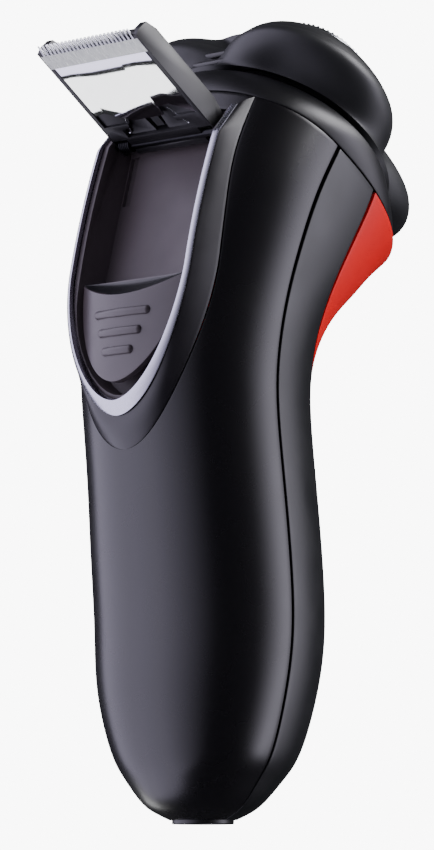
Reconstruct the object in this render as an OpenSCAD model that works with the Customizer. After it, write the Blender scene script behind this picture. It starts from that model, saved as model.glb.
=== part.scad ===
// Rotary electric shaver with a pop-up trimmer at the back of its neck.
// Base at the origin, handle up +Z, red panel to -Y, trimmer to +Y. Millimetres.

/* [Handle] */
// Wall of the two handle covers
shell_wall = 2; // [1.6:0.1:2.4]
// Play between the red panel, the bezel and the covers
panel_gap = 0.2; // [0.1:0.05:0.3]
// Wall of the collar under the head
collar_wall = 2.2; // [1.8:0.1:2.6]

/* [Head] */
// Lean of the head towards the front
head_tilt = 38; // [37:0.5:39]
// Distance from the drive axis to each cutter axis
lobe_r = 16; // [15.9:0.1:16.2]
// Outer radius of a guard
guard_r = 11; // [10.5:0.1:11.2]
// Inward travel of a guard
guard_travel = 1.2; // [0.8:0.1:1.2]
// Blades on a cutter
cutter_blades = 9; // [6:1:12]
// Slots in a guard
guard_slots = 24; // [12:4:30]

/* [Drive] */
// Module of the gears
gear_module = 0.8; // [0.8:0.8]
// Teeth of the gear on the motor shaft
drive_teeth = 22; // [22:1:22]
// Teeth of a spindle gear
spindle_teeth = 18; // [18:1:18]
// Play between meshing teeth, measured on the pitch circle
backlash = 0.14; // [0.1:0.02:0.2]
// Length of the motor can
motor_len = 20; // [18:0.5:21]

/* [Trimmer] */
// Half of the trimmer's width
flap_half = 15; // [14:0.25:15.2]
// Distance from the hinge to the tips of the teeth
flap_len = 29.9; // [29:0.1:30]
// Rise of the open trimmer above the horizontal
flap_open = 37.4; // [36:0.2:39]
// Teeth of the trimmer's comb
comb_teeth = 25; // [19:2:29]
// Downward travel of the release slide
slide_travel = 2.5; // [1.5:0.5:2.5]

/* [Power] */
// Diameter of a battery cell
cell_d = 14; // [13.5:0.1:14.5]
// Length of a battery cell
cell_len = 50; // [44:1:51]
// Diameter of the power button
button_d = 12; // [10:0.5:13]
// Distance between the two inlet pins
inlet_pitch = 4.8; // [4.6:0.1:5]

/* [Hidden] */
$fn = 48;
slit = 0.01;

// Handle sections: height, seam y, tilt, half width, depth to the front, depth to the rear
sections = [
    [0.8, 0, 0, 6.6, 6.4, 6.4],
    [2.2, 0, 0, 9.6, 8.8, 8.8],
    [4.5, 0, 0, 12.7, 11.4, 11.4],
    [9, -0.4, 0, 16.2, 14.7, 14.7],
    [15, -0.8, 0, 19.8, 17.4, 17.4],
    [27, -1.2, 0, 23.2, 19.8, 19.8],
    [40, -1.7, 0, 24.5, 20.5, 20.5],
    [55, -0.8, 0, 24.6, 20.6, 20.6],
    [70, 0.6, 0, 24.2, 20.6, 20.4],
    [84, 2, 0, 24.1, 20.7, 20.4],
    [95, 1.9, 4, 24.6, 21.6, 21],
    [106, 0.4, 10, 25.6, 25.5, 21],
    [117, -2.4, 18, 26.8, 30.8, 21.5],
    [127, -6, 26, 27.8, 34.5, 22.3],
    [136.5, -11.1, 34, 28.4, 37.5, 21.7]];
top_k = len(sections) - 1;
// Squareness of the handle's sections: 2 is an ellipse
square_n = 2.3;
rows_per_section = 2;
arc_steps = 20;

// Drive axis at the level of the head's lower edge
head_y = -17.7;
head_z = 141;
// Half axes of the head's lower edge, and its shift from the drive axis
neck_a = 28.9;
neck_b = 24.8;
neck_shift = -1.7;
// Gap between the collar and the head
head_gap = 1.4;
head_wall = 1.8;
deck_z = 12.6;
deck_t = 1.8;
guard_z = 13.7;
lobe_angles = [60, 180, 300];

// Levels of the drive, measured along the head's axis
floor_z = -2.6;
floor_t = 1.4;
gear_z = -6.4;
gear_t = 3;
bracket_z = -8.8;
bracket_t = 1.6;
motor_top = -9.2;
motor_r = 10;
motor_flat = 7.5;
shaft_r = 1;
spindle_r = 2;
spindle_pin_r = 1;
tip_z = 6.5;
tip_top = 9;
tip_w = 2.8;
post_ring = 16.5;

// Trimmer hinge, and the outline of the rim around the trimmer
hinge_y = 9.2;
hinge_z = 139.4;
rim_half = 18.2;
rim_foot = 81.6;
rim_shoulder = 112;
opening_top = 144.8;
slide_top = 109.4;
slide_shoulder = 108;

// ---------- shapes that repeat ----------

function blend(p0, p1, p2, p3, q) = 0.5*(2*p1 + (p2 - p0)*q
    + (2*p0 - 5*p1 + 4*p2 - p3)*q*q + (3*p1 - p0 - 3*p2 + p3)*q*q*q);

// Handle section at the fractional index k of the list of sections
function section_at(k) = let (i = min(floor(k), top_k - 1))
    blend(sections[max(i - 1, 0)], sections[i], sections[i + 1],
        sections[min(i + 2, top_k)], k - i);

function signed_pow(v, p) = sign(v)*pow(abs(v), p);

// Point of a section at an angle, drawn in by inset and raised by lift
function skin_point(s, angle, inset = 0, lift = 0) = let (
    half = max(s[3] - inset, sections[0][3]),
    depth = max((sin(angle) >= 0 ? s[5] : s[4]) - inset, sections[0][4]),
    v = depth*signed_pow(sin(angle), 2/square_n))
    [half*signed_pow(cos(angle), 2/square_n), s[1] + v*cos(s[2]), s[0] + lift + v*sin(s[2])];

// Steepness of the wall at section k: 90 is a floor, 0 is an upright wall
function wall_slope(k) = let (a = section_at(max(k - 0.2, 0)), b = section_at(min(k + 0.2, top_k)))
    max(0, atan2(b[3] - a[3], b[0] - a[0]));

function handle_ks() = [for (i = [0:top_k*rows_per_section]) i/rows_per_section];

function handle_grid(from, to, thick) = [for (k = handle_ks())
    let (s = section_at(k), slope = wall_slope(k))
    [for (j = [0:arc_steps]) skin_point(s, from + (to - from)*j/arc_steps,
        thick*cos(slope), thick*sin(slope))]];

// Sheet of even or uneven thickness between two grids of points, rows going up
module sheet(outer, inner, closed = false) {
    rows = len(outer);
    cols = len(outer[0]);
    base = rows*cols;
    last = closed ? cols - 1 : cols - 2;
    function at(i, j) = i*cols + j % cols;
    skins = [for (i = [0:rows - 2], j = [0:last])
        let (a = at(i, j), b = at(i, j + 1), c = at(i + 1, j + 1), d = at(i + 1, j))
        each [[a, d, c], [a, c, b], [base + a, base + b, base + c], [base + a, base + c, base + d]]];
    ends = [for (j = [0:last])
        let (a = at(0, j), b = at(0, j + 1), d = at(rows - 1, j), c = at(rows - 1, j + 1))
        each [[a, b, base + b], [a, base + b, base + a], [d, base + d, base + c], [d, base + c, c]]];
    sides = closed ? [] : [for (i = [0:rows - 2])
        let (a = at(i, 0), d = at(i + 1, 0), b = at(i, cols - 1), c = at(i + 1, cols - 1))
        each [[a, base + a, base + d], [a, base + d, d], [b, c, base + c], [b, base + c, base + b]]];
    polyhedron([each [for (r = outer) each r], each [for (r = inner) each r]],
        concat(skins, ends, sides), 8);
}

// Solid skinned over closed rings of points, going up
module skin(rings) {
    m = len(rings[0]);
    n = len(rings);
    walls = [for (i = [0:n - 2], j = [0:m - 1])
        let (a = i*m + j, b = i*m + (j + 1) % m, c = (i + 1)*m + (j + 1) % m, d = (i + 1)*m + j)
        each [[a, d, c], [a, c, b]]];
    polyhedron([for (r = rings) each r],
        concat(walls, [[for (j = [0:m - 1]) j]], [[for (j = [m - 1:-1:0]) (n - 1)*m + j]]), 8);
}

module head_axes() {
    translate([0, head_y, head_z])
        rotate([head_tilt, 0, 0])
            children();
}

module at_lobe(i) {
    head_axes()
        rotate([0, 0, -lobe_angles[i]])
            translate([0, lobe_r, 0])
                children();
}

// Flap axes: +Y from the hinge to the teeth, -Z out of the face with the blades
module flap_axes(angle = flap_open) {
    translate([0, hinge_y, hinge_z])
        rotate([angle, 0, 0])
            children();
}

module rod_x(r, from, to) {
    translate([from, 0, 0])
        rotate([0, 90, 0])
            cylinder(r = r, h = to - from);
}

// Plate in the x-z plane, from y = low to y = high
module plate_y(low, high) {
    translate([0, high, 0])
        rotate([90, 0, 0])
            linear_extrude(high - low)
                children();
}

// Plate in the y-z plane, from x = -half to x = half
module plate_x(half) {
    rotate([90, 0, 90])
        translate([0, 0, -half])
            linear_extrude(2*half)
                children();
}

// Level of the trimmer's rim above the x-z plane
function rim_y(z) = 23.2 - pow((z - 80)/17.8, 2);

// Half of a drop outline: width w at the shoulder, tip at the foot
function drop_half(w, foot, shoulder, top, p = 1.1) = concat(
    [for (a = [0:9:90]) [w*pow(sin(a), p), shoulder - (shoulder - foot)*pow(cos(a), 1.11)]],
    [[w, top]]);

function mirrored(half) = concat(half, [for (i = [len(half) - 1:-1:1]) [-half[i][0], half[i][1]]]);

module drop(w, foot, shoulder, top, p = 1.1) {
    polygon(mirrored(drop_half(w, foot, shoulder, top, p)));
}

// Everything between the rim's level shifted by low and by high
module rim_band(low, high, from = 70, to = 150) {
    zs = [for (i = [0:20]) from + (to - from)*i/20];
    plate_x(30)
        polygon(concat([for (z = zs) [rim_y(z) + low, z]],
            [for (i = [20:-1:0]) [rim_y(zs[i]) + high, zs[i]]]));
}

// ---------- handle ----------

// Boundary between the bezel and the rear cover: half width at section height t
bezel_half = 20.2;
bezel_foot_k = 8.33;
bezel_shoulder_k = 11.36;
function bezel_k(a) = bezel_shoulder_k - (bezel_shoulder_k - bezel_foot_k)*pow(cos(a), 1.11);
function bezel_edge(k, x, inset) = let (s = section_at(k),
    v = s[5]*pow(1 - pow(min(abs(x)/s[3], 1), square_n), 1/square_n))
    [x, s[1] + v*cos(s[2]) - inset, s[0] + v*sin(s[2])];
function bezel_side(inset) = concat(
    [for (a = [0:7.5:90]) bezel_edge(bezel_k(a), (bezel_half - inset)*sin(a), 0)],
    [for (k = [12:0.5:14]) bezel_edge(k, bezel_half - inset - (k - 12)*0.5, 0)]);
function flat_xz(p) = [p[0], p[2]];

module rear_opening() {
    side = [for (p = bezel_side(0)) if (p[2] < opening_top) flat_xz(p)];
    top = [side[len(side) - 1][0], opening_top];
    plate_y(5, 40)
        polygon(mirrored(concat(side, [top])));
}

module rear_cover() {
    color("#1b1a1d")
        difference() {
            sheet(handle_grid(0, 180, 0), handle_grid(0, 180, shell_wall));
            rear_opening();
        }
}

// Shield outline of the red panel in the x-z plane
module panel_outline(gap) {
    side = [[0, 53 + gap], [3.4 - gap, 54.4 + gap], [7 - gap, 58], [10 - gap, 63], [12 - gap, 68],
        [14.2 - gap, 76], [17 - gap, 85.5], [20.6 - gap, 93.5], [23.2 - gap, 103.6],
        [25.2 - gap, 114], [26.6 - gap, 124], [27.6 - gap, 134], [27.6 - gap, 160]];
    polygon(mirrored(side));
}

module front_cover() {
    color("#1f1e21")
        difference() {
            sheet(handle_grid(180, 360, 0), handle_grid(180, 360, shell_wall));
            plate_y(-60, -6)
                intersection() {
                    panel_outline(0);
                    translate([-30, 0])
                        square([60, 150]);
                }
        }
}

module front_panel() {
    color("#b01010")
        difference() {
            intersection() {
                sheet(handle_grid(180, 360, 0), handle_grid(180, 360, shell_wall));
                plate_y(-60, -6 - panel_gap)
                    panel_outline(panel_gap);
            }
            button_bore(button_d/2 + 0.25);
            light_bore(1.25);
        }
}

button_z = 76;
light_z = 64;
module button_bore(r) {
    translate([0, -8, button_z])
        rotate([90, 0, 0])
            cylinder(r = r, h = 30);
}
module light_bore(r) {
    translate([0, -8, light_z])
        rotate([90, 0, 0])
            cylinder(r = r, h = 30);
}

// Crowned disc on a stem that ends just short of the switch
module power_button() {
    color("#2a2a2d")
        translate([0, -15.5, button_z])
            rotate([90, 0, 0]) {
                cylinder(d = button_d, h = 3.3);
                translate([0, 0, 3.3])
                    cylinder(d1 = button_d, d2 = button_d - 1.2, h = 0.6);
                translate([0, 0, -0.6])
                    cylinder(d = button_d + 2.4, h = 0.6 + slit);
            }
}

module charge_light() {
    color("#d8e8ff")
        translate([0, -14.2, light_z])
            rotate([90, 0, 0])
                cylinder(r = 1.2, h = 6.3);
}

// Collar between the handle's rim and the head, flared a little at mid height
function collar_ring(q, inset) = [for (j = [0:2*arc_steps - 1]) let (
    angle = 180*j/arc_steps,
    low = skin_point(section_at(top_k), angle, inset),
    n = [0, -sin(head_tilt), cos(head_tilt)],
    e = [0, cos(head_tilt), sin(head_tilt)],
    high = [(neck_a - inset)*cos(angle), head_y, head_z]
        + (neck_shift + (neck_b - inset)*sin(angle))*e + (-head_gap)*n,
    flare = 4*q*(1 - q)*0.6)
    low + (high - low)*q + flare*[cos(angle), e[1]*sin(angle), e[2]*sin(angle)]];

module neck_collar() {
    color("#242327")
        sheet([for (q = [0:0.25:1]) collar_ring(q, 0)],
            [for (q = [0:0.25:1]) collar_ring(q, collar_wall)], true);
}

// ---------- trimmer surround ----------

function rim_edge(a, w) = let (x = w*pow(sin(a), 1.1),
    z = rim_shoulder - (rim_shoulder - rim_foot)*pow(cos(a), 1.11)) [x, rim_y(z), z];
function rim_side(w) = concat([for (a = [0:7.5:90]) rim_edge(a, w)],
    [for (z = [118, 125, 132, 138.5]) [w, rim_y(z), z]], [[w - 0.3, 7, 144.6]]);
function both_sides(half) = concat([for (i = [len(half) - 1:-1:1]) [-half[i][0], half[i][1], half[i][2]]],
    half);

// Sloping band from the rear cover's surface up to the rim
module trimmer_bezel() {
    edge = both_sides(bezel_side(panel_gap));
    rim = both_sides(rim_side(rim_half));
    drop_to = [0, -1.5, 0];
    outer = [for (q = [0:0.25:1]) [for (j = [0:len(edge) - 1])
        edge[j] + (rim[j] - edge[j])*q + [0, 0.5*sin(180*q), 0]]];
    inner = [for (row = outer) [for (p = row) p + drop_to]];
    color("#3a383d")
        sheet(inner, outer);
}

// Bright trim ring that stands on the edge of the tub
module trimmer_rim() {
    color("#d9dadd")
        intersection() {
            plate_y(5, 30)
                difference() {
                    drop(rim_half - 0.1, rim_foot + 0.1, rim_shoulder, 138.4);
                    drop(rim_half - 1.1, rim_foot + 2.6, rim_shoulder, 150);
                }
            rim_band(-1.2, 0.5);
        }
}

tub_half = 16.9;
pocket_half = 15.6;
// Floor of the pocket under the closed trimmer
function pocket_floor(z) = 13.4 - (z - 110)*0.272;

module trimmer_tub() {
    color("#2b282f")
        difference() {
            intersection() {
                plate_y(3, 30)
                    drop(tub_half, rim_foot + 2.8, rim_shoulder, opening_top - 0.3);
                plate_x(30)
                    polygon(concat([for (z = [80:5:135]) [rim_y(z) - 0.3, z]],
                        [[rim_y(139) - 0.3, 139], [6.8, 145]],
                        [[pocket_floor(145) - 1.4, 145], [pocket_floor(109) - 1.4, 109],
                        [15.2, 106], [17, 80]]));
            }
            trimmer_pocket();
            slide_pocket();
            translate([0, hinge_y, hinge_z])
                rod_x(1, -17, 17);
        }
}

// Room for the closed trimmer, open to the rear and to the top
module trimmer_pocket() {
    plate_x(pocket_half)
        polygon([[30, slide_top - 1.6], [pocket_floor(slide_top), slide_top - 1.6],
            [pocket_floor(148), 148], [30, 148]]);
}

// Seat of the release slide, with room for its travel
module slide_pocket() {
    intersection() {
        plate_y(5, 30)
            drop(pocket_half, rim_foot + 4, slide_shoulder, slide_top + 2);
        plate_x(30)
            polygon([[30, 80], [rim_y(84) - 4, 84], [rim_y(slide_top) - 4.2, slide_top + 2], [30, slide_top + 2]]);
    }
}

slide_lean = 6.3;
// Crowned shield with three finger ribs and a hollowed upper lip
module trimmer_slide() {
    color("#4a4650")
        difference() {
            union() {
                intersection() {
                    plate_y(5, 40)
                        difference() {
                            drop(pocket_half - 0.8, rim_foot + 4.2 + slide_travel, slide_shoulder, slide_top);
                            translate([0, slide_top + 45])
                                circle(r = 46.2, $fn = 160);
                        }
                    slide_crown(40);
                }
                for (i = [0:2])
                    slide_rib(102.4 - 3.9*i, 7.2 - 1.8*i);
            }
            plate_x(30)
                polygon([[0, 80], [rim_y(80) - 3.6, 80], [rim_y(90) - 3.6, 90],
                    [rim_y(100) - 3.8, 100], [rim_y(112) - 3.8, 112], [0, 112]]);
            translate([-2, 17, 90.6])
                cube([4, 4.8, 10]);
        }
}

// Cylinder whose surface carries the slide's crown
module slide_crown(r) {
    translate([0, 23.6 - r, 96])
        rotate([slide_lean, 0, 0])
            cylinder(r = r, h = 80, center = true, $fn = 160);
}

module slide_rib(z, half) {
    intersection() {
        plate_y(20.5, 28)
            translate([0, z])
                polygon([for (side = [-1, 1], a = [-80:20:80])
                    side*[half + 0.8*cos(a), 0.8*sin(a)]]);
        slide_crown(40.7);
    }
}

// Return spring of the slide, in the channel behind it
module slide_spring() {
    color("silver")
        for (i = [0:7])
            translate([0, 20.2, 92 + 0.65*i])
                rotate_extrude()
                    translate([1, 0])
                        circle(r = 0.2, $fn = 16);
}

// ---------- trimmer ----------

module trimmer_housing() {
    color("#141316")
        flap_axes()
            difference() {
                intersection() {
                    plate_x(flap_half)
                        polygon([[-1.6, -0.9], [flap_len - 1.7, -0.9], [flap_len - 1.4, 0.6],
                            [flap_len - 1.9, 3.2], [24, 4.4], [18, 5.1], [12, 5.1], [7, 4.5], [3, 3.5],
                            [0.6, 2.75], [-1.2, 2.5], [-2.3, 1.5], [-2.6, 0.2], [-2.3, -0.6]]);
                    translate([0, 10, 5.2 - 100])
                        rotate([-90, 0, 0])
                            cylinder(r = 100, h = 60, center = true, $fn = 240);
                }
                rod_x(1.06, -20, 20);
                for (side = [-1, 1])
                    translate([side*12.6 - 2, -4, -3])
                        cube([4, 6.2, 8]);
                translate([-13.9, 6.2, -2])
                    cube([27.8, 30, 1.72]);
                translate([-13.9, 23.4, -1])
                    cube([27.8, 10, 1.6]);
                translate([-13.2, 26.4, -2])
                    cube([26.4, 10, 10]);
                linear_extrude(1.6)
                    arm_outline(1.6);
                translate([0, 0, -3])
                    linear_extrude(3.2)
                        window_outline();
            }
}

// Stepped window near the hinge that shows the drive arm
module window_outline() {
    polygon([[-9.6, 2.6], [9.6, 2.6], [9.6, 5], [7.2, 5], [5.6, 9], [-5.6, 9], [-7.2, 5], [-9.6, 5]]);
}

arm_pivot = 9.6;
arm_reach = 16.4;
module arm_outline(play) {
    translate([0, arm_pivot])
        circle(r = 2 + play);
    polygon([[-1.3 - play, arm_pivot], [1.3 + play, arm_pivot],
        [0.8 + play, arm_pivot + arm_reach + 0.9 + play/2], [-0.8 - play, arm_pivot + arm_reach + 0.9 + play/2]]);
    polygon([[-1.1 - play/2, 3.4 - play/2], [1.1 + play/2, 3.4 - play/2], [1.3 + play, arm_pivot],
        [-1.3 - play, arm_pivot]]);
}

// Polished cover plate with the fixed comb along its outer edge
module trimmer_comb() {
    pitch = 2*(flap_half - 0.4)/comb_teeth;
    color("#e4e5e8")
        flap_axes()
            difference() {
                union() {
                    translate([0, 0, -0.88])
                        linear_extrude(0.5)
                            polygon([[-13.7, 23.8], [-13.7, 6.3], [-8.6, 9.4], [-5, 9.3], [-4.5, 6.9],
                                [4.5, 6.9], [10.6, 10], [13.7, 9.6], [13.7, 23.8]]);
                    translate([-flap_half + 0.4, 23.6, -0.95])
                        cube([2*flap_half - 0.8, flap_len - 23.6, 0.6]);
                }
                for (i = [0:comb_teeth])
                    translate([-flap_half + 0.4 + i*pitch - 0.28, flap_len - 2.2, -2])
                        cube([0.56, 3, 3]);
            }
}

// Blade that shuttles under the comb, with a slot for the arm's tip
module trimmer_cutter() {
    pitch = 2*(flap_half - 0.4)/comb_teeth;
    color("#b9bbc0")
        flap_axes()
            difference() {
                translate([-12.4, 24.4, -0.3])
                    cube([24.8, flap_len - 25, 0.55]);
                for (i = [0:comb_teeth])
                    translate([-flap_half + 0.4 + i*pitch - 0.28, flap_len - 2.2, -2])
                        cube([0.56, 3, 3]);
                translate([-0.92, 24, -2])
                    cube([1.84, 3.1, 3]);
            }
}

module trimmer_drive_arm() {
    color("#1d3a66")
        flap_axes()
            difference() {
                union() {
                    translate([0, 0, 0.4])
                        linear_extrude(1)
                            arm_outline(0);
                    translate([0, arm_pivot + arm_reach, -0.25])
                        cylinder(r = 0.8, h = 1);
                }
                translate([0, arm_pivot, -1])
                    cylinder(r = 1.06, h = 4);
            }
}

// Two wire springs that press the moving blade against the comb, and the arm's pivot
module trimmer_springs() {
    color("silver")
        flap_axes() {
            for (side = [-1, 1]) {
                translate([side*8.6, 3.4, -0.15])
                    rotate([-90, 0, side*22])
                        cylinder(r = 0.25, h = 5.4, $fn = 16);
                translate([side*8.6, 3.4, -0.15])
                    rotate([0, 90*side, 0])
                        cylinder(r = 0.25, h = 0.9, $fn = 16);
            }
            translate([0, arm_pivot, -0.36])
                cylinder(r = 1, h = 2);
        }
}

module trimmer_hinge_pin() {
    color("silver")
        translate([0, hinge_y, hinge_z])
            rod_x(1, -16.8, 16.8);
}

// Torsion spring on the hinge pin: close-wound turns beside the hinge knuckle
module hinge_spring() {
    color("#9a9ca0")
        translate([0, hinge_y, hinge_z])
            for (i = [0:5])
                translate([11.3 + i*0.52, 0, 0])
                    rotate([0, 90, 0])
                        rotate_extrude()
                            translate([1.35, 0])
                                circle(r = 0.25, $fn = 16);
}

// ---------- head ----------

// Outline of the head: an ellipse that swells into three lobes
function lobe_reach(angle, centre, rc) = let (q = rc*rc - pow(centre*sin(angle), 2))
    cos(angle) > 0 && q > 0 ? centre*cos(angle) + sqrt(q) : 0;
function soft_max(v, p) = pow(sum([for (x = v) pow(x, p)]), 1/p);
function sum(v, i = 0) = i < len(v) ? v[i] + sum(v, i + 1) : 0;
function trefoil(angle, centre, rc, hollow) = soft_max(concat([hollow],
    [for (a = lobe_angles) lobe_reach(angle - a, centre, rc)]), 14);
function oval(angle) = let (c = cos(angle), s = sin(angle), aa = neck_a*neck_a, bb = neck_b*neck_b,
    d = neck_shift, qa = s*s/aa + c*c/bb, qb = -2*c*d/bb, qc = d*d/bb - 1)
    (-qb + sqrt(qb*qb - 4*qa*qc))/(2*qa);
head_steps = 60;
// Shift of the lobes at a height: to the front low down, none at the deck
function lobe_shift(z) = -1.9*min(1, (deck_z - z)/4.2);
function head_ring(z, mix, rc, inset = 0) = [for (j = [0:head_steps - 1]) let (
    a = -360*j/head_steps,
    r = oval(a)*(1 - mix) + trefoil(a, 15.6, rc, 20)*mix - inset)
    [r*sin(a), r*cos(a) + mix*lobe_shift(z), z]];

// Height, share of the lobes and lobe radius, from the lower edge to the deck
head_profile = [[0, 0, 16], [1.6, 0.4, 17.8], [3.6, 0.75, 18.8], [6, 0.95, 19.2], [8.4, 1, 18.3],
    [10.4, 1, 16.4], [11.8, 1, 14.4], [deck_z, 1, 12.9]];

module head_frame() {
    color("#19191b")
        head_axes()
            difference() {
                skin([for (p = head_profile) head_ring(p[0], p[1], p[2])]);
                skin([head_ring(-1, 0, 16, head_wall), for (p = head_profile)
                    if (p[0] < deck_z - deck_t - 1 && p[0] > 0) head_ring(p[0], p[1], p[2], head_wall),
                    head_ring(deck_z - deck_t, 1, 15.2, head_wall)]);
                for (a = lobe_angles)
                    rotate([0, 0, -a])
                        translate([0, lobe_r, 0])
                            cylinder(r = guard_r + 0.3, h = 20);
            }
}

// Ring under the head: it seats inside the collar and closes the gap under the head
module head_base() {
    color("#101012")
        head_axes() {
            translate([0, 0, -0.9])
                linear_extrude(2.2)
                    difference() {
                        neck_plate(collar_wall + 0.5);
                        neck_plate(collar_wall + 1.9);
                    }
            translate([0, 0, 0.3])
                linear_extrude(1)
                    difference() {
                        neck_plate(head_wall + 0.05);
                        neck_plate(collar_wall + 0.5);
                    }
        }
}

retainer_z = 4.6;
retainer_t = 1.4;
module cutter_retainer() {
    color("#d7d3cb")
        head_axes()
            difference() {
                union() {
                    translate([0, 0, retainer_z])
                        linear_extrude(retainer_t)
                            union() {
                                circle(r = 12);
                                for (a = lobe_angles)
                                    rotate([0, 0, -a])
                                        translate([0, lobe_r])
                                            circle(r = 10.4);
                            }
                    for (a = lobe_angles)
                        rotate([0, 0, -a])
                            translate([0, lobe_r, retainer_z])
                                cylinder(r = 7.6, h = 2.8);
                    translate([0, 0, retainer_z + retainer_t - slit])
                        cylinder(r = 2.6, h = deck_z - deck_t - retainer_z - retainer_t + slit);
                }
                for (a = lobe_angles)
                    rotate([0, 0, -a])
                        translate([0, lobe_r, 0])
                            cylinder(r = 5.2, h = 20);
                cylinder(r = 1.55, h = 9);
            }
}

// Quarter-turn knob that locks the retainer into the head
module retainer_latch() {
    color("#8a8d92")
        head_axes() {
            translate([0, 0, 2.4])
                cylinder(r = 3.6, h = 2.2);
            translate([0, 0, 1.2])
                linear_extrude(1.3)
                    square([6.4, 1.2], center = true);
            translate([0, 0, 4.5])
                cylinder(r = 1.5, h = 4);
        }
}

// Guard: slotted track around a sunk centre, and a flange under the deck
module guard(i) {
    color("#c9cbd0")
        at_lobe(i)
            difference() {
                rotate_extrude()
                    polygon([[0, guard_z - 1.1], [5.6, guard_z - 1.1], [6.2, guard_z - 0.1],
                        [7, guard_z], [10.2, guard_z], [guard_r, guard_z - 0.7],
                        [guard_r, deck_z - deck_t - 0.3], [guard_r + 0.9, deck_z - deck_t - 0.3],
                        [guard_r + 0.9, deck_z - deck_t - 1], [guard_r - 0.6, deck_z - deck_t - 1],
                        [guard_r - 0.6, guard_z - 0.8], [10, guard_z - 0.5], [7, guard_z - 0.5],
                        [6.4, guard_z - 1.6], [0, guard_z - 1.6]]);
                for (k = [0:guard_slots - 1])
                    rotate([0, 0, 360*k/guard_slots])
                        translate([-0.3, 7, guard_z - 2])
                            cube([0.6, 3, 4]);
            }
}

cutter_z = 9.6;
// Cutter: hub with a square socket, a thin disc and upright blades
module cutter(i) {
    color("#a7a9ae")
        at_lobe(i)
            difference() {
                union() {
                    translate([0, 0, cutter_z])
                        cylinder(r = 9.4, h = 0.7);
                    translate([0, 0, 7.9])
                        cylinder(r = 3.4, h = 4);
                    for (k = [0:cutter_blades - 1])
                        rotate([0, 0, 360*k/cutter_blades])
                            translate([-0.35, 7.1, cutter_z + 0.5])
                                cube([0.7, 2.2, 2.9]);
                }
                translate([-1.55, -1.55, 7])
                    cube([3.1, 3.1, 3.4]);
            }
}

// ---------- drive ----------

function involute(base, r) = let (a = acos(base/max(r, base))) tan(a)*180/PI - a;

// Outline of a gear: straight below the base circle, involute above it
function gear_points(teeth, turn) = let (
    pitch_r = gear_module*teeth/2,
    base = pitch_r*cos(20),
    half = 90/teeth - backlash/2/pitch_r*90/PI,
    radii = [pitch_r - 1.2*gear_module, base + 0.05, (base + pitch_r)/2, pitch_r,
        pitch_r + gear_module/2, pitch_r + 0.95*gear_module])
    [for (k = [0:teeth - 1], side = [0, 1], m = [0:len(radii) - 1])
        let (r = radii[side == 0 ? m : len(radii) - 1 - m],
            flank = half + involute(base, pitch_r) - involute(base, r),
            a = turn + 360*k/teeth + (side == 0 ? -flank : flank))
        [r*cos(a), r*sin(a)]];

// Turn of spindle gear i that puts a gap where the drive gear has a tooth
function mesh_turn(i) = let (phi = 90 - lobe_angles[i], step = 360/drive_teeth,
    off = round(phi/step)*step - phi)
    phi + 180 - off*drive_teeth/spindle_teeth + 180/spindle_teeth;

module drive_gear(i) {
    color("#e6e2d6")
        head_axes()
            rotate([0, 0, -lobe_angles[i]])
                translate([0, lobe_r, 0])
                    rotate([0, 0, lobe_angles[i]]) {
                        translate([0, 0, gear_z])
                            linear_extrude(gear_t)
                                polygon(gear_points(spindle_teeth, mesh_turn(i)));
                        translate([0, 0, gear_z + gear_t - slit])
                            cylinder(r = spindle_r, h = tip_z - gear_z - gear_t + slit);
                        rotate([0, 0, -lobe_angles[i]])
                            translate([-tip_w/2, -tip_w/2, tip_z - slit])
                                cube([tip_w, tip_w, tip_top - tip_z + slit]);
                        translate([0, 0, bracket_z - 0.2])
                            cylinder(r = spindle_pin_r, h = gear_z - bracket_z + 0.2 + slit);
                    }
}

module drive_pinion() {
    color("#c9a24a")
        head_axes() {
            translate([0, 0, gear_z])
                linear_extrude(gear_t)
                    polygon(gear_points(drive_teeth, 0));
            translate([0, 0, motor_top - 5])
                cylinder(r = shaft_r, h = gear_z + gear_t - motor_top + 5.4);
        }
}

module neck_plate(shrink) {
    translate([0, neck_shift])
        polygon([for (a = [0:6:354]) [(neck_a - shrink)*cos(a), (neck_b - shrink)*sin(a)]]);
}

// Floor of the hair chamber, with a bearing boss for each spindle
module chamber_floor() {
    color("#2f2e33")
        head_axes()
            difference() {
                union() {
                    translate([0, 0, floor_z])
                        linear_extrude(floor_t)
                            neck_plate(collar_wall + 1.4);
                    for (a = lobe_angles)
                        rotate([0, 0, -a])
                            translate([0, lobe_r, floor_z])
                                cylinder(r = 3.6, h = floor_t + 2);
                }
                for (a = lobe_angles)
                    rotate([0, 0, -a])
                        translate([0, lobe_r, -10])
                            cylinder(r = spindle_r + 0.05, h = 20);
                for (a = lobe_angles)
                    rotate([0, 0, 60 - a])
                        translate([0, post_ring, -10])
                            cylinder(r = 1.15, h = 20);
                cylinder(r = 1.2, h = 20, center = true);
            }
}

module spindle_seals() {
    color("#111111")
        for (i = [0:2])
            at_lobe(i)
                translate([0, 0, floor_z + floor_t + 2])
                    rotate_extrude()
                        polygon([[spindle_r + 0.15, 0], [3.6, 0], [3.3, 1], [spindle_r + 0.15, 1.4]]);
}

module chamber_screws() {
    color("#b8babd")
        head_axes()
            for (a = lobe_angles)
                rotate([0, 0, 60 - a])
                    translate([0, post_ring, 0])
                        difference() {
                            union() {
                                translate([0, 0, floor_z + floor_t])
                                    cylinder(r = 2.1, h = 1.3);
                                translate([0, 0, floor_z - 4])
                                    cylinder(r = 1.05, h = 4 + floor_t + slit);
                            }
                            translate([-1.5, -0.25, floor_z + floor_t + 0.7])
                                cube([3, 0.5, 2]);
                            translate([-0.25, -1.5, floor_z + floor_t + 0.7])
                                cube([0.5, 3, 2]);
                        }
}

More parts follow.
